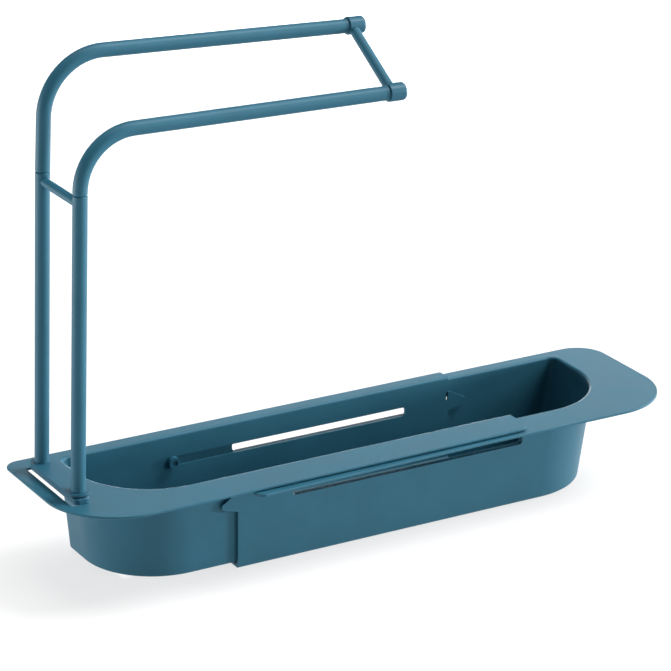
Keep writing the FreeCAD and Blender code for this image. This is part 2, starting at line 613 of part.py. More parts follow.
def tray(side, lip_front, lip_back, heights, ear):
    """One tray half: lip plate and drafted tub, rounded while still plain, then trimmed and pierced."""
    body = new_body(side + "_tray")
    top, lip_bottom, base, floor = heights
    past, beyond = side + "_past", side + "_beyond"
    left_side = side == "left"

    def shape_of(sk, closed, far, south, north, bends, far_south=""):
        """Outline with rounded corners at the closed end and a plain open end."""
        if left_side:
            outline(sk, closed, far, south, north, (bends[0], "", "", bends[1]), far_south)
        else:
            kink = "flare_start" if far_south else ""
            outline(sk, far, closed, south, north, ("", bends[0], bends[1], ""), far_south, kink)

    def level(stage, height, far, back_bend):
        """Sketch of the tub's outline at one of its four stages."""
        name = side + "_" + stage
        sk = sketch_on(body, "XY_Plane", name, ref(height) if height else "")
        closed = name + ("_west" if left_side else "_east")
        shape_of(sk, closed, far, name + "_south", name + "_north", (name + "_bend", back_bend))
        return sk

    plate = sketch_on(body, "XY_Plane", side + "_lip", ref(lip_bottom))
    lip_bends = (side + "_lip_front_corner", side + "_lip_back_corner")
    shape_of(plate, side + "_edge", past, lip_front, lip_back, lip_bends, side + "_far_front")
    pad(body, plate, "lip_sheet" if left_side else "under_lip_sheet", side + "_lip_plate")
    loft(body, "AdditiveLoft", level("base", base, past, "back_corner_out"),
         level("shell", side + "_shell_z", past, "back_corner_out"), side + "_tub")
    hollow = loft(body, "SubtractiveLoft", level("floor", floor, beyond, "back_corner"),
                  level("rim", side + "_rim_z", beyond, "back_corner"), side + "_hollow")

    # Roundings, each on the edges at one height that don't belong to the open end
    edge_x, open_x = val(side + "_edge"), val(past)
    front, back = val(side + "_shell_south"), val(side + "_shell_north")

    def at(height, outside=None):
        z = val(height) if height else 0.0

        def wanted(edge):
            spot = middle(edge)
            if not flat_at(edge, z) or abs(spot.x - open_x) < 0.01:
                return False
            margin = val("trim_margin") / 2
            beside = spot.y < front - margin or spot.y > back + margin
            lip = beside or abs(spot.x - edge_x) < margin
            return outside is None or outside == lip

        return wanted

    tip = dress(body, "Fillet", hollow, "edge_round", side + "_lip_edge", at(top, True))
    tip = dress(body, "Fillet", tip, "edge_round", side + "_lip_under_edge", at(lip_bottom, True))
    tip = dress(body, "Fillet", tip, side + "_base_round", side + "_base_edge", at(base))
    tip = dress(body, "Fillet", tip, "floor_round", side + "_floor_edge", at(floor))
    dress(body, "Fillet", tip, "rim_round", side + "_basin_rim", at(top, False))

    # Open end, trimmed back to the two stop ears in one cut across both walls
    end, neck, bevel = side + "_end", side + "_ear_neck", side + "_ear_bevel"
    trim = sketch_on(body, "XZ_Plane", side + "_trim")
    polygon(trim, (
        (end, "below_all"), (beyond, "below_all"), (beyond, "above_all"), (end, "above_all"),
        (end, "ear_root_top"), (neck, "ear_tip_top"), (bevel, "ear_bevel_top"), (side + "_ear_tip", "ear_middle"),
        (bevel, "ear_bevel_bottom"), (neck, "ear_tip_bottom"), (end, "ear_root_bottom"),
    ))
    pocket(body, trim, side + "_open_end")
    for corner, radius in (("front", "lip_tail_corner"), ("back", "lip_tail_back_corner")):
        sk = sketch_on(body, "XY_Plane", side + "_tail_" + corner, ref("above_all"))
        name = side + "_tail_" + corner
        scallop(sk, name + "_x", name + "_y", radius, beyond, side + "_clear_" + corner)
        pocket(body, sk, name + "_cut", "tail_depth")

    slots = sketch_on(body, "XZ_Plane", side + "_slots")
    outline(slots, side + "_slot_west", side + "_slot_east", "slot_bottom", "slot_top", ("slot_corner",) * 4)
    pocket(body, slots, side + "_wall_slots")
    ear(body)
    return body


def drains(body, side, base):
    """Row of drain slots through the floor, on the common grid."""
    sk = sketch_on(body, "XY_Plane", side + "_drain", ref(base) if base else "")
    outline(sk, side + "_drain_west", side + "_drain_east", "drain_south", "drain_north", ("drain_corner",) * 4)
    first = pocket(body, sk, side + "_first_drain", "left_floor_z", True)
    row = body.newObject("PartDesign::LinearPattern", side + "_drains")
    row.Originals = [first]
    row.Direction = (sk, ["H_Axis"])
    row.setExpression("Length", ref(side + "_drain_run"))
    row.setExpression("Occurrences", ref(side + "_drain_count"))
    row.Reversed = side == "right"
    body.Tip = row
    doc.recompute()


def left_ear(body):
    """Relief slits at the ears, slot through the front ear, peg on the rear one, and the slot for the rack."""
    slit = sketch_on(body, "XZ_Plane", "ear_slit")
    polygon(slit, (("slit_west", "slit_bottom"), ("left_end", "slit_bottom"),
                   ("left_end", "slit_top"), ("slit_west", "slit_top")))
    pocket(body, slit, "ear_slits")
    run = sketch_on(body, "XZ_Plane", "front_slot_run", "-" + ref("drain_middle"))
    outline(run, "left_slot_west", "right_slot_east", "slot_bottom", "slot_top", ("slot_corner",) * 4)
    pocket(body, run, "front_slot_run_cut", "front_slot_depth", True)
    sk = sketch_on(body, "XZ_Plane", "peg_section", "-" + ref("peg_back_start"))
    circle(sk, "left_peg_x", "slot_middle", "peg_diameter")
    pad(body, sk, "peg_length", "rear_peg", True)
    hole = sketch_on(body, "XY_Plane", "rack_slot", ref("tray_height"))
    outline(hole, "rack_slot_west", "rack_slot_east", "rack_slot_south", "rack_slot_north",
            ("edge_round",) * 4)
    pocket(body, hole, "rack_slot_cut", "lip_sheet")


def right_ear(body):
    """Blind seats for the stop pins in the right half's ears."""
    for place, against in (("seat_back", True), ("seat_front", False)):
        sk = sketch_on(body, "XZ_Plane", place + "_sketch", "-" + ref(place))
        circle(sk, "right_pin_x", "slot_middle", "seat_diameter")
        pocket(body, sk, place + "_hole", "seat_cut", against)


def stop_pin(name):
    """Headed pin along Y: hollowed head in the basin, shank through the slot, end in the ear."""
    body = new_body(name + "_stop_pin")
    body.setExpression("Placement.Base.x", ref("right_pin_x"))
    body.setExpression("Placement.Base.z", ref("slot_middle"))
    sk = sketch_on(body, "YZ_Plane", name + "_pin_profile")
    part = name + "_pin_"
    polygon(sk, (
        (part + "dimple", ""), (part + "dimple", "pin_dimple_radius"), (part + "top", "pin_dimple_radius"),
        (part + "top", "pin_head_radius"), (part + "shoulder", "pin_head_radius"),
        (part + "shoulder", "pin_radius"), (part + "tip", "pin_radius"), (part + "tip", ""),
    ))
    turned(body, "Revolution", sk, "H_Axis", name + "_pin_turn")
    return body


def on_rack(body, y):
    """Puts a body into the leaning frame of the rack, at a named place along Y."""
    body.Placement = FreeCAD.Placement(
        FreeCAD.Vector(0, 0, 0), FreeCAD.Rotation(FreeCAD.Vector(0, 1, 0), val("rack_lean")))
    body.setExpression("Placement.Base.x", ref("rack_x"))
    body.setExpression("Placement.Base.y", ref(y))
    body.setExpression("Placement.Base.z", ref("tray_height"))
    body.setExpression("Placement.Rotation.Angle", ref("rack_lean") + " * 1 deg")


def rack_foot():
    """Foot: slab on the lip, two hooked tabs through its slot, a deck on a web, and two leaning collars."""
    body = new_body("rack_foot")
    body.setExpression("Placement.Base.x", ref("rack_x"))
    body.setExpression("Placement.Base.y", ref("rack_y"))
    body.setExpression("Placement.Base.z", ref("tray_height"))
    plate = sketch_on(body, "XY_Plane", "foot_plate", ref("foot_gap"))
    outline(plate, "plate_west", "plate_right", "plate_south", "plate_half", ("plate_corner",) * 4)
    slab = pad(body, plate, "plate_thick", "foot_plate_pad")
    crown = val("plate_sheet")
    dress(body, "Fillet", slab, "edge_round", "foot_plate_edge", lambda edge: flat_at(edge, crown))
    for name, south, north in (("front", "tongue_south", "front_tab_end"), ("rear", "rear_tab_end", "tongue_half")):
        tab = sketch_on(body, "XY_Plane", name + "_tab", ref("hook_bottom"))
        outline(tab, "tongue_west", "tongue_east", south, north, ("", "", "", ""))
        pad(body, tab, "tongue_height", name + "_tab_pad")
        hook = sketch_on(body, "XY_Plane", name + "_hook", ref("hook_bottom"))
        outline(hook, "tongue_west", "hook_east", south, north, ("", "edge_round", "edge_round", ""))
        pad(body, hook, "hook_sheet", name + "_hook_pad")
    web = sketch_on(body, "XY_Plane", "foot_web", ref("plate_sheet"))
    outline(web, "web_west", "web_half", "web_south", "web_north", ("", "", "", ""))
    pad(body, web, "web_height", "foot_web_pad")
    deck = sketch_on(body, "XY_Plane", "foot_deck", ref("deck_base"))
    outline(deck, "deck_west", "deck_half", "deck_south", "deck_north", ("deck_corner",) * 4)
    pad(body, deck, "deck_sheet", "foot_deck_pad")
    for name, sign in (("rear", "-"), ("front", "")):
        sk = sketch_on(body, "XZ_Plane", name + "_collar", sign + ref("half_spacing"))
        sk.AttachmentOffset = FreeCAD.Placement(
            sk.AttachmentOffset.Base, FreeCAD.Rotation(FreeCAD.Vector(0, 0, -1), val("rack_lean")))
        sk.setExpression("AttachmentOffset.Rotation.Angle", ref("rack_lean") + " * 1 deg")
        polygon(sk, (
            ("", "collar_base"), ("collar_radius", "collar_base"), ("collar_radius", "collar_top"),
            ("", "collar_top"),
        ))
        turned(body, "Revolution", sk, "V_Axis", name + "_collar_turn")
    for name, sign in (("rear", "-"), ("front", "")):
        sk = sketch_on(body, "XZ_Plane", name + "_socket", sign + ref("half_spacing"))
        sk.AttachmentOffset = FreeCAD.Placement(
            sk.AttachmentOffset.Base, FreeCAD.Rotation(FreeCAD.Vector(0, 0, -1), val("rack_lean")))
        sk.setExpression("AttachmentOffset.Rotation.Angle", ref("rack_lean") + " * 1 deg")
        polygon(sk, (("", "collar_floor"), ("socket_radius", "collar_floor"),
                     ("socket_radius", "collar_top"), ("", "collar_top")))
        turned(body, "Groove", sk, "V_Axis", name + "_socket_bore")
    return body


def post(name):
    """Straight lower tube: spigot below, socket above, shallow seat for the crossbar."""
    body = new_body(name + "_post")
    sk = sketch_on(body, "XZ_Plane", name + "_post_profile")
    polygon(sk, (
        ("", "post_spigot_end"), ("spigot_radius", "post_spigot_end"), ("spigot_radius", "collar_top"),
        ("tube_radius", "collar_top"), ("tube_radius", "joint_shoulder"), ("joint_neck", "joint_height"),
        ("socket_radius", "joint_height"), ("socket_radius", "post_socket_floor"), ("", "post_socket_floor"),
    ))
    turned(body, "Revolution", sk, "V_Axis", name + "_post_turn")
    rear = name == "rear"
    seat = sketch_on(body, "XZ_Plane", name + "_post_seat", ("" if rear else "-") + ref("crossbar_plane"))
    circle(seat, "", "crossbar_z", "crossbar_hole")
    pocket(body, seat, name + "_post_seat_hole", "crossbar_cut", rear)
    on_rack(body, name + "_post_y")
    return body


def crossbar():
    """Thin rod between the posts, its ends sunk into their seats."""
    body = new_body("post_crossbar")
    sk = sketch_on(body, "XZ_Plane", "crossbar_section")
    circle(sk, "", "crossbar_z", "crossbar_diameter")
    pad(body, sk, "crossbar_length", "crossbar_rod", both=True)
    on_rack(body, "rack_y")
    return body


def rail(name):
    """Bent upper tube: riser, quarter bend and long arm swept in one, with a spigot below."""
    body = new_body(name + "_rail")
    height, rounding = name + "_rail_height", name + "_bend_radius"
    start, top, radius, reach = val("joint_height"), val(height), val(rounding), val("rail_reach")
    route = sketch_on(body, "XZ_Plane", name + "_rail_route")
    riser = line(route, 0, start, 0, top - radius)
    bend = arc(route, radius, top - radius, radius, QUARTER, 2 * QUARTER)
    arm = line(route, radius, top, reach, val(name + "_rail_end"))
    corner = route.addGeometry(Part.Point(FreeCAD.Vector(val(name + "_rail_sway"), top, 0)), True)
    route.addConstraint(Sketcher.Constraint("Tangent", riser, 2, bend, 2))
    route.addConstraint(Sketcher.Constraint("Tangent", bend, 1, arm, 1))
    route.addConstraint(Sketcher.Constraint("PointOnObject", corner, 1, riser))
    route.addConstraint(Sketcher.Constraint("PointOnObject", corner, 1, arm))
    locate(route, "DistanceX", riser, 1, "")
    locate(route, "DistanceY", riser, 1, "joint_height")
    locate(route, "DistanceX", corner, 1, name + "_rail_sway")
    locate(route, "DistanceY", corner, 1, height)
    locate(route, "DistanceX", arm, 2, "rail_reach")
    locate(route, "DistanceY", arm, 2, name + "_rail_end")
    measure(route, Sketcher.Constraint("Radius", bend, radius), ref(rounding))
    section = sketch_on(body, "XY_Plane", name + "_rail_section", ref("joint_height"))
    circle(section, "", "", "tube_diameter")
    tube = body.newObject("PartDesign::AdditivePipe", name + "_rail_tube")
    tube.Profile = section
    tube.Spine = (route, ["Edge1", "Edge2", "Edge3"])
    doc.recompute()
    foot = val("joint_height")
    dress(body, "Chamfer", tube, "joint_chamfer", name + "_rail_groove", lambda edge: flat_at(edge, foot))
    spigot = sketch_on(body, "XY_Plane", name + "_rail_spigot", ref("rail_spigot_end"))
    circle(spigot, "", "", "spigot_diameter")
    pad(body, spigot, "rail_spigot_pad" if name == "rear" else "rail_spigot_length", name + "_rail_spigot_pad")
    on_rack(body, name + "_post_y")
    return body


def lean_along_bar(sk):
    """Turns a sketch on the rack's cross plane so that its X axis runs along the slanted end bar."""
    tilt = FreeCAD.Vector(val("post_spacing"), val("bar_rise"), 0)
    sk.AttachmentOffset = FreeCAD.Placement(
        FreeCAD.Vector(0, 0, 0), FreeCAD.Rotation(FreeCAD.Vector(1, 0, 0), tilt))
    sk.setExpression("AttachmentOffset.Base.y", ref("bar_middle_z"))
    sk.setExpression("AttachmentOffset.Base.z", ref("bar_x"))
    sk.setExpression("AttachmentOffset.Rotation.Angle", "atan(%s / %s)" % (ref("bar_rise"), ref("post_spacing")))


def end_cap(name):
    """Sleeve on a rail's free end, closed and rounded outside, with a seat for the end bar."""
    body = new_body(name + "_end_cap")
    rear = name == "rear"
    sk = sketch_on(body, "XZ_Plane", name + "_cap_profile")
    run = FreeCAD.Vector(1, val(name + "_rail_drop"), 0)
    sk.AttachmentOffset = FreeCAD.Placement(
        FreeCAD.Vector(0, 0, 0), FreeCAD.Rotation(FreeCAD.Vector(1, 0, 0), run))
    sk.setExpression("AttachmentOffset.Base.x", ref("rail_reach"))
    sk.setExpression("AttachmentOffset.Base.y", ref(name + "_rail_end"))
    sk.setExpression("AttachmentOffset.Rotation.Angle", "atan(abs(%s))" % ref(name + "_rail_drop"))
    polygon(sk, (
        ("cap_mouth", "cap_bore"), ("cap_mouth", "cap_radius"), ("cap_end", "cap_radius"),
        ("cap_end", ""), ("cap_floor", ""), ("cap_floor", "cap_bore"),
    ))
    sleeve = turned(body, "Revolution", sk, "H_Axis", name + "_cap_turn")
    tip = FreeCAD.Vector(val("rail_reach"), 0, val(name + "_rail_end"))
    along = FreeCAD.Vector(run.x, 0, run.y).normalize()

    def ring_at(edge, place):
        """True for the sleeve's outer circle at a named place along the rail."""
        if not isinstance(edge.Curve, Part.Circle) or edge.Curve.Radius < 0.95 * val("cap_radius"):
            return False
        return abs((edge.Curve.Center - tip).dot(along) - val(place)) < 0.01

    dome = dress(body, "Fillet", sleeve, "cap_round", name + "_cap_dome", lambda edge: ring_at(edge, "cap_end"))
    dress(body, "Fillet", dome, "edge_round", name + "_cap_mouth", lambda edge: ring_at(edge, "cap_mouth"))
    seat = sketch_on(body, "YZ_Plane", name + "_cap_seat")
    lean_along_bar(seat)
    shift = "-" if rear else ""
    seat.setExpression("AttachmentOffset.Base.x", shift + ref("half_spacing"))
    far, near = ("bar_half", "seat_outer") if rear else ("bar_half_back", "seat_outer_back")
    polygon(seat, ((near, ""), (far, ""), (far, "seat_radius"), (near, "seat_radius")))
    turned(body, "Groove", seat, "H_Axis", name + "_cap_seat_bore")
    on_rack(body, name + "_post_y")
    return body


def end_bar():
    """Slanted rod between the two sleeves."""
    body = new_body("end_bar")
    sk = sketch_on(body, "YZ_Plane", "end_bar_profile")
    lean_along_bar(sk)
    polygon(sk, (("bar_half_back", ""), ("bar_half", ""), ("bar_half", "bar_radius"),
                 ("bar_half_back", "bar_radius")))
    turned(body, "Revolution", sk, "H_Axis", "end_bar_turn")
    on_rack(body, "rack_y")
    return body


left = tray("left", "lip_front", "lip_back",
            ("tray_height", "lip_under", "left_base_z", "left_floor_z"), left_ear)
drains(left, "left", "left_base_z")
right = tray("right", "under_front", "under_back",
             ("under_top", "under_bottom", "", "wall_sheet"), right_ear)
drains(right, "right", "")

bodies = [
    left, right,
    stop_pin("rear"), stop_pin("front"),
    rack_foot(),
    post("rear"), post("front"), crossbar(),
    rail("rear"), rail("front"),
    end_cap("rear"), end_cap("front"), end_bar(),
]
doc.recompute()

for item in doc.Objects:
    if "Invalid" in item.State or "Error" in item.State:
        raise RuntimeError("%s is in a bad state: %s" % (item.Name, item.State))
for body in bodies:
    shape = body.Shape
    if shape.isNull() or not shape.isValid() or len(shape.Solids) != 1:
        raise RuntimeError("%s is not one valid solid" % body.Label)
    shape.exportStep("parts/%s.step" % body.Label)
    print("%-16s %9.1f mm3" % (body.Label, shape.Volume))
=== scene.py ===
import json
import math
from collections import namedtuple

import bpy
import numpy as np
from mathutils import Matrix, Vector

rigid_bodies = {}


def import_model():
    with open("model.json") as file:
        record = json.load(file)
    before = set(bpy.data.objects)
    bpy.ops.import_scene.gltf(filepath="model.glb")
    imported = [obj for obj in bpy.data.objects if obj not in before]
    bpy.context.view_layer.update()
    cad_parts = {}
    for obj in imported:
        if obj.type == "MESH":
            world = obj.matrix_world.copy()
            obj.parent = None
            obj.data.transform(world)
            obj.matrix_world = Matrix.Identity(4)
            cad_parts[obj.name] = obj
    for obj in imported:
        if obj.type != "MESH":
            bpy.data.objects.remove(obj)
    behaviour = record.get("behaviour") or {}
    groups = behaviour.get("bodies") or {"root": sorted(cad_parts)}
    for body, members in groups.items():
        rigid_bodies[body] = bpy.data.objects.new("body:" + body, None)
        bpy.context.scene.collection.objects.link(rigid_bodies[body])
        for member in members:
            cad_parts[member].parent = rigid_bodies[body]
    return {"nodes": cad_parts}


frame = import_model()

# Dresses the telescopic sink caddy: every solid keeps its shape and gets the finish of its own making,
# and a plain white stage with soft light is set round it.

bl_info = {
    "name": "Sink caddy finish",
    "version": (1, 0, 0),
    "blender": (4, 5, 0),
    "location": "3D View > Sidebar > Sink caddy",
    "description": "Plastics, light and stage for a telescopic sink caddy with a towel rack",
    "category": "Object",
}

for spare in list(bpy.data.objects):
    if spare.type in ("CAMERA", "LIGHT") or spare.name.startswith("Cube"):
        bpy.data.objects.remove(spare)
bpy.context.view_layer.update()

MILLIMETRE = 0.001
TRAYS = ("left_tray", "right_tray")
STOP_PINS = ("rear_stop_pin", "front_stop_pin")
UPRIGHT_TUBES = ("rear_post", "front_post")
LONG_TUBES = ("rear_rail", "front_rail")
CROSS_RODS = ("post_crossbar", "end_bar")
RACK_FITTINGS = ("rack_foot", "rear_end_cap", "front_end_cap")

# How a plastic's skin varies: its darkest cloud as a share of the colour, its range of roughness and
# the strength of its relief
Skin = namedtuple("Skin", "darkest smoothest roughest relief")
MOULDED_SKIN = Skin(darkest=0.93, smoothest=0.42, roughest=0.50, relief=0.35)
EXTRUDED_SKIN = Skin(darkest=0.94, smoothest=0.46, roughest=0.53, relief=0.2)
LIGHTEST_CLOUD = 1.05
POLYPROPYLENE_IOR = 1.49
SATIN_SPECULAR = 0.22
# A die line is this many times as long as it is wide
DIE_STRETCH = 40.0
# Most of a noise pattern lies between these two levels
NOISE_LOW = 0.3
NOISE_HIGH = 0.7

WHITE = (1.0, 1.0, 1.0, 1.0)
FLOOR_LINES = 33
FLOOR_DROP = 0.5 * MILLIMETRE
# The sheet's own tooth is finer, and is drawn coarse enough to show
FLOOR_TOOTH = 2.5 * MILLIMETRE
FLOOR_TOOTH_DEPTH = 0.1 * MILLIMETRE
PICTURE_WIDTH = 36.0
FARTHEST_VIEW = 50.0


def linear(code):
    """An sRGB hex colour as linear red, green, blue: divide by 12.92 near black, else the 2.4 power."""
    parts = np.array([int(code[i:i + 2], 16) for i in (1, 3, 5)]) / 255.0
    light = np.where(parts <= 0.04045, parts / 12.92, ((parts + 0.055) / 1.055) ** 2.4)
    return tuple(float(x) for x in light)


class CaddyFinish(bpy.types.PropertyGroup):
    """Colours and surface sizes of the plastics."""

    tray_colour: bpy.props.FloatVectorProperty(
        name="Tray colour", description="Petrol blue of the two moulded tray halves",
        subtype="COLOR", size=3, min=0.0, max=1.0, default=linear("#285D71"))
    tube_colour: bpy.props.FloatVectorProperty(
        name="Tube colour", description="Petrol blue of posts, rails and rods",
        subtype="COLOR", size=3, min=0.0, max=1.0, default=linear("#285D71"))
    fitting_colour: bpy.props.FloatVectorProperty(
        name="Fitting colour", description="Petrol blue of foot, sleeves and stop pins",
        subtype="COLOR", size=3, min=0.0, max=1.0, default=linear("#265A6F"))
    mould_grain: bpy.props.FloatProperty(
        name="Mould grain",
        description="Width of one grain of the etched mould, drawn coarse enough to show",
        unit="LENGTH", default=0.45 * MILLIMETRE)
    grain_depth: bpy.props.FloatProperty(
        name="Grain depth", description="Height of the mould's grain and of the die lines",
        unit="LENGTH", default=0.02 * MILLIMETRE)
    flow_length: bpy.props.FloatProperty(
        name="Flow clouds", description="Size of the faint clouds left by the melt's flow",
        unit="LENGTH", default=28 * MILLIMETRE)
    die_line: bpy.props.FloatProperty(
        name="Die lines", description="Spacing of the fine lines along an extruded tube",
        unit="LENGTH", default=0.6 * MILLIMETRE)


class CaddyStage(bpy.types.PropertyGroup):
    """Floor, light and camera."""

    floor_width: bpy.props.FloatProperty(
        name="Floor width", description="Side of the floor sheet", unit="LENGTH", default=14.0)
    floor_colour: bpy.props.FloatVectorProperty(
        name="Floor colour", description="Unlit colour of the opal acrylic sheet",
        subtype="COLOR", size=3, min=0.0, max=1.0, default=linear("#898989"))
    floor_glow: bpy.props.FloatProperty(
        name="Floor glow", description="Light that comes up through the sheet, which softens shadows",
        default=0.72)
    key_strength: bpy.props.FloatProperty(
        name="Key light", description="High light from the right", default=3.0)
    top_strength: bpy.props.FloatProperty(
        name="Top light", description="Wide light from straight above", default=1.4)
    fill_strength: bpy.props.FloatProperty(
        name="Fill light", description="Level light that grazes the front wall from the right",
        default=4.1)
    front_strength: bpy.props.FloatProperty(
        name="Front light", description="Weak light from the front right, for the rails' sheen",
        default=0.55)
    sky_strength: bpy.props.FloatProperty(
        name="Room light", description="Even light of the white room", default=0.12)
    left_power: bpy.props.FloatProperty(
        name="Left strip", description="Low strip light that edges the left end and the posts",
        unit="POWER", default=13.0)
    back_power: bpy.props.FloatProperty(
        name="Back screen", description="Low screen behind, whose sheen lies on the lips",
        unit="POWER", default=19.0)
    right_power: bpy.props.FloatProperty(
        name="Right box", description="Soft box beside the right end", unit="POWER", default=5.0)
    camera_target: bpy.props.FloatVectorProperty(
        name="Camera target", description="Point in the middle of the picture",
        subtype="TRANSLATION", size=3, default=(-0.01195, 0.0017, 0.12205))
    camera_azimuth: bpy.props.FloatProperty(
        name="Azimuth", description="Camera turned to the left of the front",
        subtype="ANGLE", default=math.radians(-29.503))
    camera_elevation: bpy.props.FloatProperty(
        name="Elevation", description="Camera above the horizon",
        subtype="ANGLE", default=math.radians(20.662))
    camera_distance: bpy.props.FloatProperty(
        name="Distance", description="Camera to target", unit="LENGTH", default=1.89187)
    camera_lens: bpy.props.FloatProperty(
        name="Lens", description="Focal length in millimetres on a 36 mm square picture",
        default=169.428)


def add(tree, kind, links=(), **settings):
    """Adds a node to a tree, sets its own values or its sockets, and links its inputs.

    A setting's name has underscores where the socket's name has spaces.
    """
    node = tree.nodes.new(kind)
    for name, value in settings.items():
        socket = node.inputs.get(name.replace("_", " "))
        if hasattr(node, name):
            setattr(node, name, value)
        elif socket is not None:
            socket.default_value = value
        else:
            raise KeyError("%s has no %s" % (kind, name))
    for name, source in links:
        tree.links.new(source, node.inputs[name])
    return node


def plain_material(name):
    """An empty node material, its tree, and the object coordinates that its patterns read."""
    material = bpy.data.materials.new(name)
    material.use_nodes = True
    tree = material.node_tree
    tree.nodes.clear()
    place = add(tree, "ShaderNodeTexCoord").outputs["Object"]
    return material, tree, place


def shaded(colour, factor):
    """A colour times a factor, held to full light, with full alpha."""
    return tuple(min(1.0, channel * factor) for channel in colour) + (1.0,)


def polypropylene_skin(tree, place, colour, finish, skin, relief, lined):
    """Surface that both kinds of polypropylene share.

    Wide faint clouds, where the melt flowed, tint the colour, and the relief raises the skin. The
    roughness follows the relief where that is lined, and else the clouds.
    """
    clouds = add(tree, "ShaderNodeTexNoise", [("Vector", place)], Scale=1.0 / finish.flow_length,
                 Detail=3.0, Roughness=0.55)
    tint = add(tree, "ShaderNodeValToRGB", [("Fac", clouds.outputs["Fac"])])
    dark, light = tint.color_ramp.elements
    dark.position = NOISE_LOW
    dark.color = shaded(colour, skin.darkest)
    light.position = NOISE_HIGH
    light.color = shaded(colour, LIGHTEST_CLOUD)
    sheen = relief if lined else clouds
    gloss = add(tree, "ShaderNodeMapRange", [("Value", sheen.outputs["Fac"])], From_Min=NOISE_LOW,
                From_Max=NOISE_HIGH, To_Min=skin.smoothest, To_Max=skin.roughest)
    bump = add(tree, "ShaderNodeBump", [("Height", relief.outputs["Fac"])], Strength=skin.relief,
               Distance=finish.grain_depth)
    shader = add(tree, "ShaderNodeBsdfPrincipled",
                 [("Base Color", tint.outputs["Color"]), ("Roughness", gloss.outputs["Result"]),
                  ("Normal", bump.outputs["Normal"])],
                 IOR=POLYPROPYLENE_IOR, Specular_IOR_Level=SATIN_SPECULAR)
    add(tree, "ShaderNodeOutputMaterial", [("Surface", shader.outputs["BSDF"])])


def moulded_polypropylene(name, colour, finish):
    """Injection-moulded polypropylene from an etched mould.

    The eye gets a satin skin: a fine even grain breaks the highlight, and wide faint clouds where the
    melt flowed shift colour and gloss by a few percent.
    """
    material, tree, place = plain_material(name)
    # One noise cell per grain width
    grain = add(tree, "ShaderNodeTexNoise", [("Vector", place)], Scale=1.0 / finish.mould_grain,
                Detail=2.0, Roughness=0.6)
    polypropylene_skin(tree, place, colour, finish, MOULDED_SKIN, grain, lined=False)
    return material


def extruded_polypropylene(name, colour, finish, along):
    """Extruded polypropylene tube.

    The eye gets a skin as satin as on the mouldings, with faint lines along the run that the die leaves.
    """
    material, tree, place = plain_material(name)
    # One noise cell per die line, stretched along the run
    stretch = [1.0 / DIE_STRETCH if axis == along else 1.0 for axis in "XYZ"]
    drawn = add(tree, "ShaderNodeMapping", [("Vector", place)], Scale=stretch)
    lines = add(tree, "ShaderNodeTexNoise", [("Vector", drawn.outputs["Vector"])],
                Scale=1.0 / finish.die_line, Detail=2.0, Roughness=0.6)
    polypropylene_skin(tree, place, colour, finish, EXTRUDED_SKIN, lines, lined=True)
    return material


def opal_acrylic(stage):
    """Opal acrylic sheet, lit from below.

    The eye gets an even white glow under a matte skin with a barely visible tooth.
    """
    material, tree, place = plain_material("opal acrylic, lit from below")
    tooth = add(tree, "ShaderNodeTexNoise", [("Vector", place)], Scale=1.0 / FLOOR_TOOTH, Detail=2.0)
    bump = add(tree, "ShaderNodeBump", [("Height", tooth.outputs["Fac"])], Strength=0.05,
               Distance=FLOOR_TOOTH_DEPTH)
    shader = add(tree, "ShaderNodeBsdfPrincipled", [("Normal", bump.outputs["Normal"])],
                 Base_Color=tuple(stage.floor_colour) + (1.0,), Roughness=0.9, Specular_IOR_Level=0.1,
                 Emission_Color=WHITE, Emission_Strength=stage.floor_glow)
    add(tree, "ShaderNodeOutputMaterial", [("Surface", shader.outputs["BSDF"])])
    return material


def coat(names, material):
    """Gives each named solid one material."""
    for name in names:
        node = frame["nodes"][name]
        node.data.materials.clear()
        node.data.materials.append(material)


class CADDY_OT_finish_trays(bpy.types.Operator):
    """Satin moulded finish on both tray halves"""

    bl_idname = "caddy.finish_trays"
    bl_label = "Finish the tray halves"

    def execute(self, context):
        finish = context.scene.caddy_finish
        name = "moulded polypropylene, trays"
        coat(TRAYS, moulded_polypropylene(name, finish.tray_colour, finish))
        return {"FINISHED"}


class CADDY_OT_finish_pins(bpy.types.Operator):
    """Satin moulded finish on the two stop pins"""

    bl_idname = "caddy.finish_pins"
    bl_label = "Finish the stop pins"

    def execute(self, context):
        finish = context.scene.caddy_finish
        name = "moulded polypropylene, stop pins"
        coat(STOP_PINS, moulded_polypropylene(name, finish.fitting_colour, finish))
        return {"FINISHED"}


class CADDY_OT_finish_tubes(bpy.types.Operator):
    """Extruded finish on posts, rails and rods, with the lines along each run"""

    bl_idname = "caddy.finish_tubes"
    bl_label = "Finish the rack's tubes"

    def execute(self, context):
        finish = context.scene.caddy_finish
        runs = (("posts", UPRIGHT_TUBES, "Z"), ("rails", LONG_TUBES, "X"), ("rods", CROSS_RODS, "Y"))
        for run, names, along in runs:
            name = "extruded polypropylene, " + run
            coat(names, extruded_polypropylene(name, finish.tube_colour, finish, along))
        return {"FINISHED"}


class CADDY_OT_finish_fittings(bpy.types.Operator):
    """Satin moulded finish on the rack's foot and the sleeves on the rail ends"""

    bl_idname = "caddy.finish_fittings"
    bl_label = "Finish the rack's foot and sleeves"

    def execute(self, context):
        finish = context.scene.caddy_finish
        name = "moulded polypropylene, fittings"
        coat(RACK_FITTINGS, moulded_polypropylene(name, finish.fitting_colour, finish))
        return {"FINISHED"}


def floor_grid(width):
    """Flat square grid: x and y run over the width in even steps, and z is nought."""
    line = np.linspace(-width / 2, width / 2, FLOOR_LINES)
    x, y = np.meshgrid(line, line)
    spots = np.stack((x, y, np.zeros_like(x)), axis=-1).reshape(-1, 3)
    step = np.arange(FLOOR_LINES - 1)
    first = (step[:, None] * FLOOR_LINES + step).ravel()
    faces = np.stack((first, first + 1, first + FLOOR_LINES + 1, first + FLOOR_LINES), axis=1)
    return spots, faces


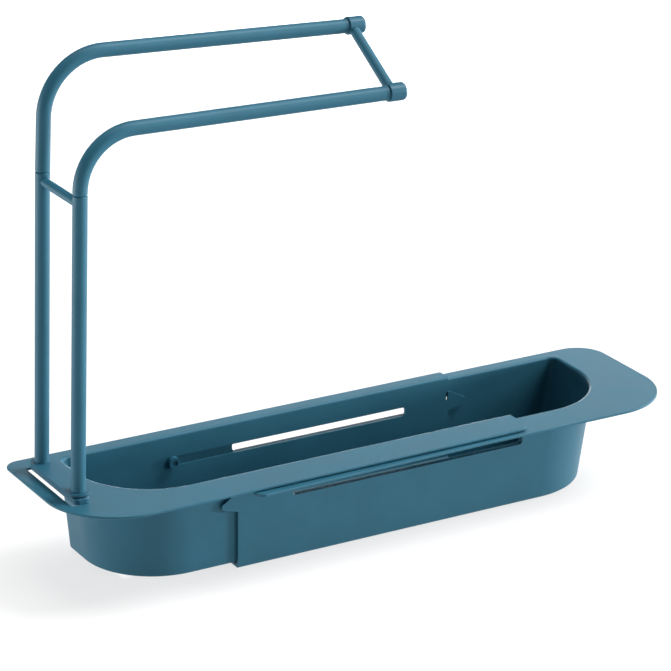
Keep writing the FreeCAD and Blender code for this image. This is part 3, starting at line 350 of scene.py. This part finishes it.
def lay_floor(scene, stage):
    """Floor sheet just under the part."""
    spots, faces = floor_grid(stage.floor_width)
    mesh = bpy.data.meshes.new("floor")
    mesh.from_pydata(spots.tolist(), [], faces.tolist())
    mesh.materials.append(opal_acrylic(stage))
    floor = bpy.data.objects.new("floor", mesh)
    floor.location.z = -FLOOR_DROP
    scene.collection.objects.link(floor)


def sun(scene, name, strength, direction, spread):
    """Distant lamp that shines along a direction, soft by its spread in degrees."""
    data = bpy.data.lights.new(name, "SUN")
    data.energy = strength
    data.angle = math.radians(spread)
    lamp = bpy.data.objects.new(name, data)
    lamp.rotation_euler = Vector(direction).to_track_quat("-Z", "Y").to_euler()
    scene.collection.objects.link(lamp)


def softbox(scene, name, power, place, aim, width, height):
    """Rectangular area lamp at a place, turned to a point; it stays out of every picture itself."""
    data = bpy.data.lights.new(name, "AREA")
    data.shape = "RECTANGLE"
    data.size = width
    data.size_y = height
    data.energy = power
    lamp = bpy.data.objects.new(name, data)
    lamp.location = place
    lamp.visible_camera = False
    lamp.rotation_euler = (Vector(aim) - Vector(place)).to_track_quat("-Z", "Y").to_euler()
    scene.collection.objects.link(lamp)


def light_room(scene, stage):
    """White room with four distant lamps and three soft boxes."""
    room = bpy.data.worlds.new("white room")
    room.use_nodes = True
    background = room.node_tree.nodes["Background"]
    background.inputs["Color"].default_value = WHITE
    background.inputs["Strength"].default_value = stage.sky_strength
    scene.world = room

    sun(scene, "key light", stage.key_strength, direction=(-0.58, 0.17, -0.79), spread=25)
    sun(scene, "top light", stage.top_strength, direction=(-0.10, -0.15, -0.98), spread=40)
    sun(scene, "fill light", stage.fill_strength, direction=(-0.93, 0.37, -0.02), spread=12)
    # Shines from where the camera sees it mirrored along the middle of the rails
    sun(scene, "front light", stage.front_strength, direction=(-0.46, 0.82, -0.35), spread=15)
    softbox(scene, "left strip", stage.left_power, place=(-1.30, 0.65, 0.07), aim=(-0.10, 0.0, 0.06),
            width=1.0, height=0.14)
    # Stays low, because a higher screen would shine through the front slot
    softbox(scene, "back screen", stage.back_power, place=(0.80, 0.95, 0.10), aim=(0.05, 0.0, 0.06),
            width=1.8, height=0.2)
    softbox(scene, "right box", stage.right_power, place=(1.00, -0.15, 0.30), aim=(0.20, 0.0, 0.05),
            width=0.5, height=0.5)


def aim_camera(scene, stage):
    """Camera on a sphere about its target, at the azimuth, elevation and distance of the stage."""
    camera = bpy.data.objects.new("camera", bpy.data.cameras.new("camera"))
    camera.data.lens = stage.camera_lens
    camera.data.sensor_width = PICTURE_WIDTH
    camera.data.clip_end = FARTHEST_VIEW
    turn = stage.camera_azimuth
    rise = stage.camera_elevation
    back = Vector((math.sin(turn) * math.cos(rise), -math.cos(turn) * math.cos(rise), math.sin(rise)))
    camera.location = Vector(stage.camera_target) + stage.camera_distance * back
    camera.rotation_euler = back.to_track_quat("Z", "Y").to_euler()
    scene.collection.objects.link(camera)
    scene.camera = camera


class CADDY_OT_set_stage(bpy.types.Operator):
    """White floor, soft studio light and the camera"""

    bl_idname = "caddy.set_stage"
    bl_label = "Set the stage"

    def execute(self, context):
        scene = context.scene
        lay_floor(scene, scene.caddy_stage)
        light_room(scene, scene.caddy_stage)
        aim_camera(scene, scene.caddy_stage)
        scene.view_settings.view_transform = "Standard"
        return {"FINISHED"}


class CADDY_PT_panel(bpy.types.Panel):
    """The caddy's finishes and its stage"""

    bl_idname = "CADDY_PT_panel"
    bl_label = "Sink caddy"
    bl_space_type = "VIEW_3D"
    bl_region_type = "UI"
    bl_category = "Sink caddy"

    def draw(self, context):
        layout = self.layout
        for group in (context.scene.caddy_finish, context.scene.caddy_stage):
            for name in group.__annotations__:
                layout.prop(group, name)
        for step in STEPS:
            layout.operator(step.bl_idname)


STEPS = (CADDY_OT_finish_trays, CADDY_OT_finish_pins, CADDY_OT_finish_tubes, CADDY_OT_finish_fittings,
         CADDY_OT_set_stage)
CLASSES = (CaddyFinish, CaddyStage) + STEPS + (CADDY_PT_panel,)


def register():
    for item in CLASSES:
        bpy.utils.register_class(item)
    bpy.types.Scene.caddy_finish = bpy.props.PointerProperty(type=CaddyFinish)
    bpy.types.Scene.caddy_stage = bpy.props.PointerProperty(type=CaddyStage)


def unregister():
    del bpy.types.Scene.caddy_stage
    del bpy.types.Scene.caddy_finish
    for item in reversed(CLASSES):
        bpy.utils.unregister_class(item)


def main():
    register()
    bpy.ops.caddy.finish_trays()
    bpy.ops.caddy.finish_pins()
    bpy.ops.caddy.finish_tubes()
    bpy.ops.caddy.finish_fittings()
    bpy.ops.caddy.set_stage()
    bpy.context.view_layer.update()


if __name__ == "__main__":
    main()
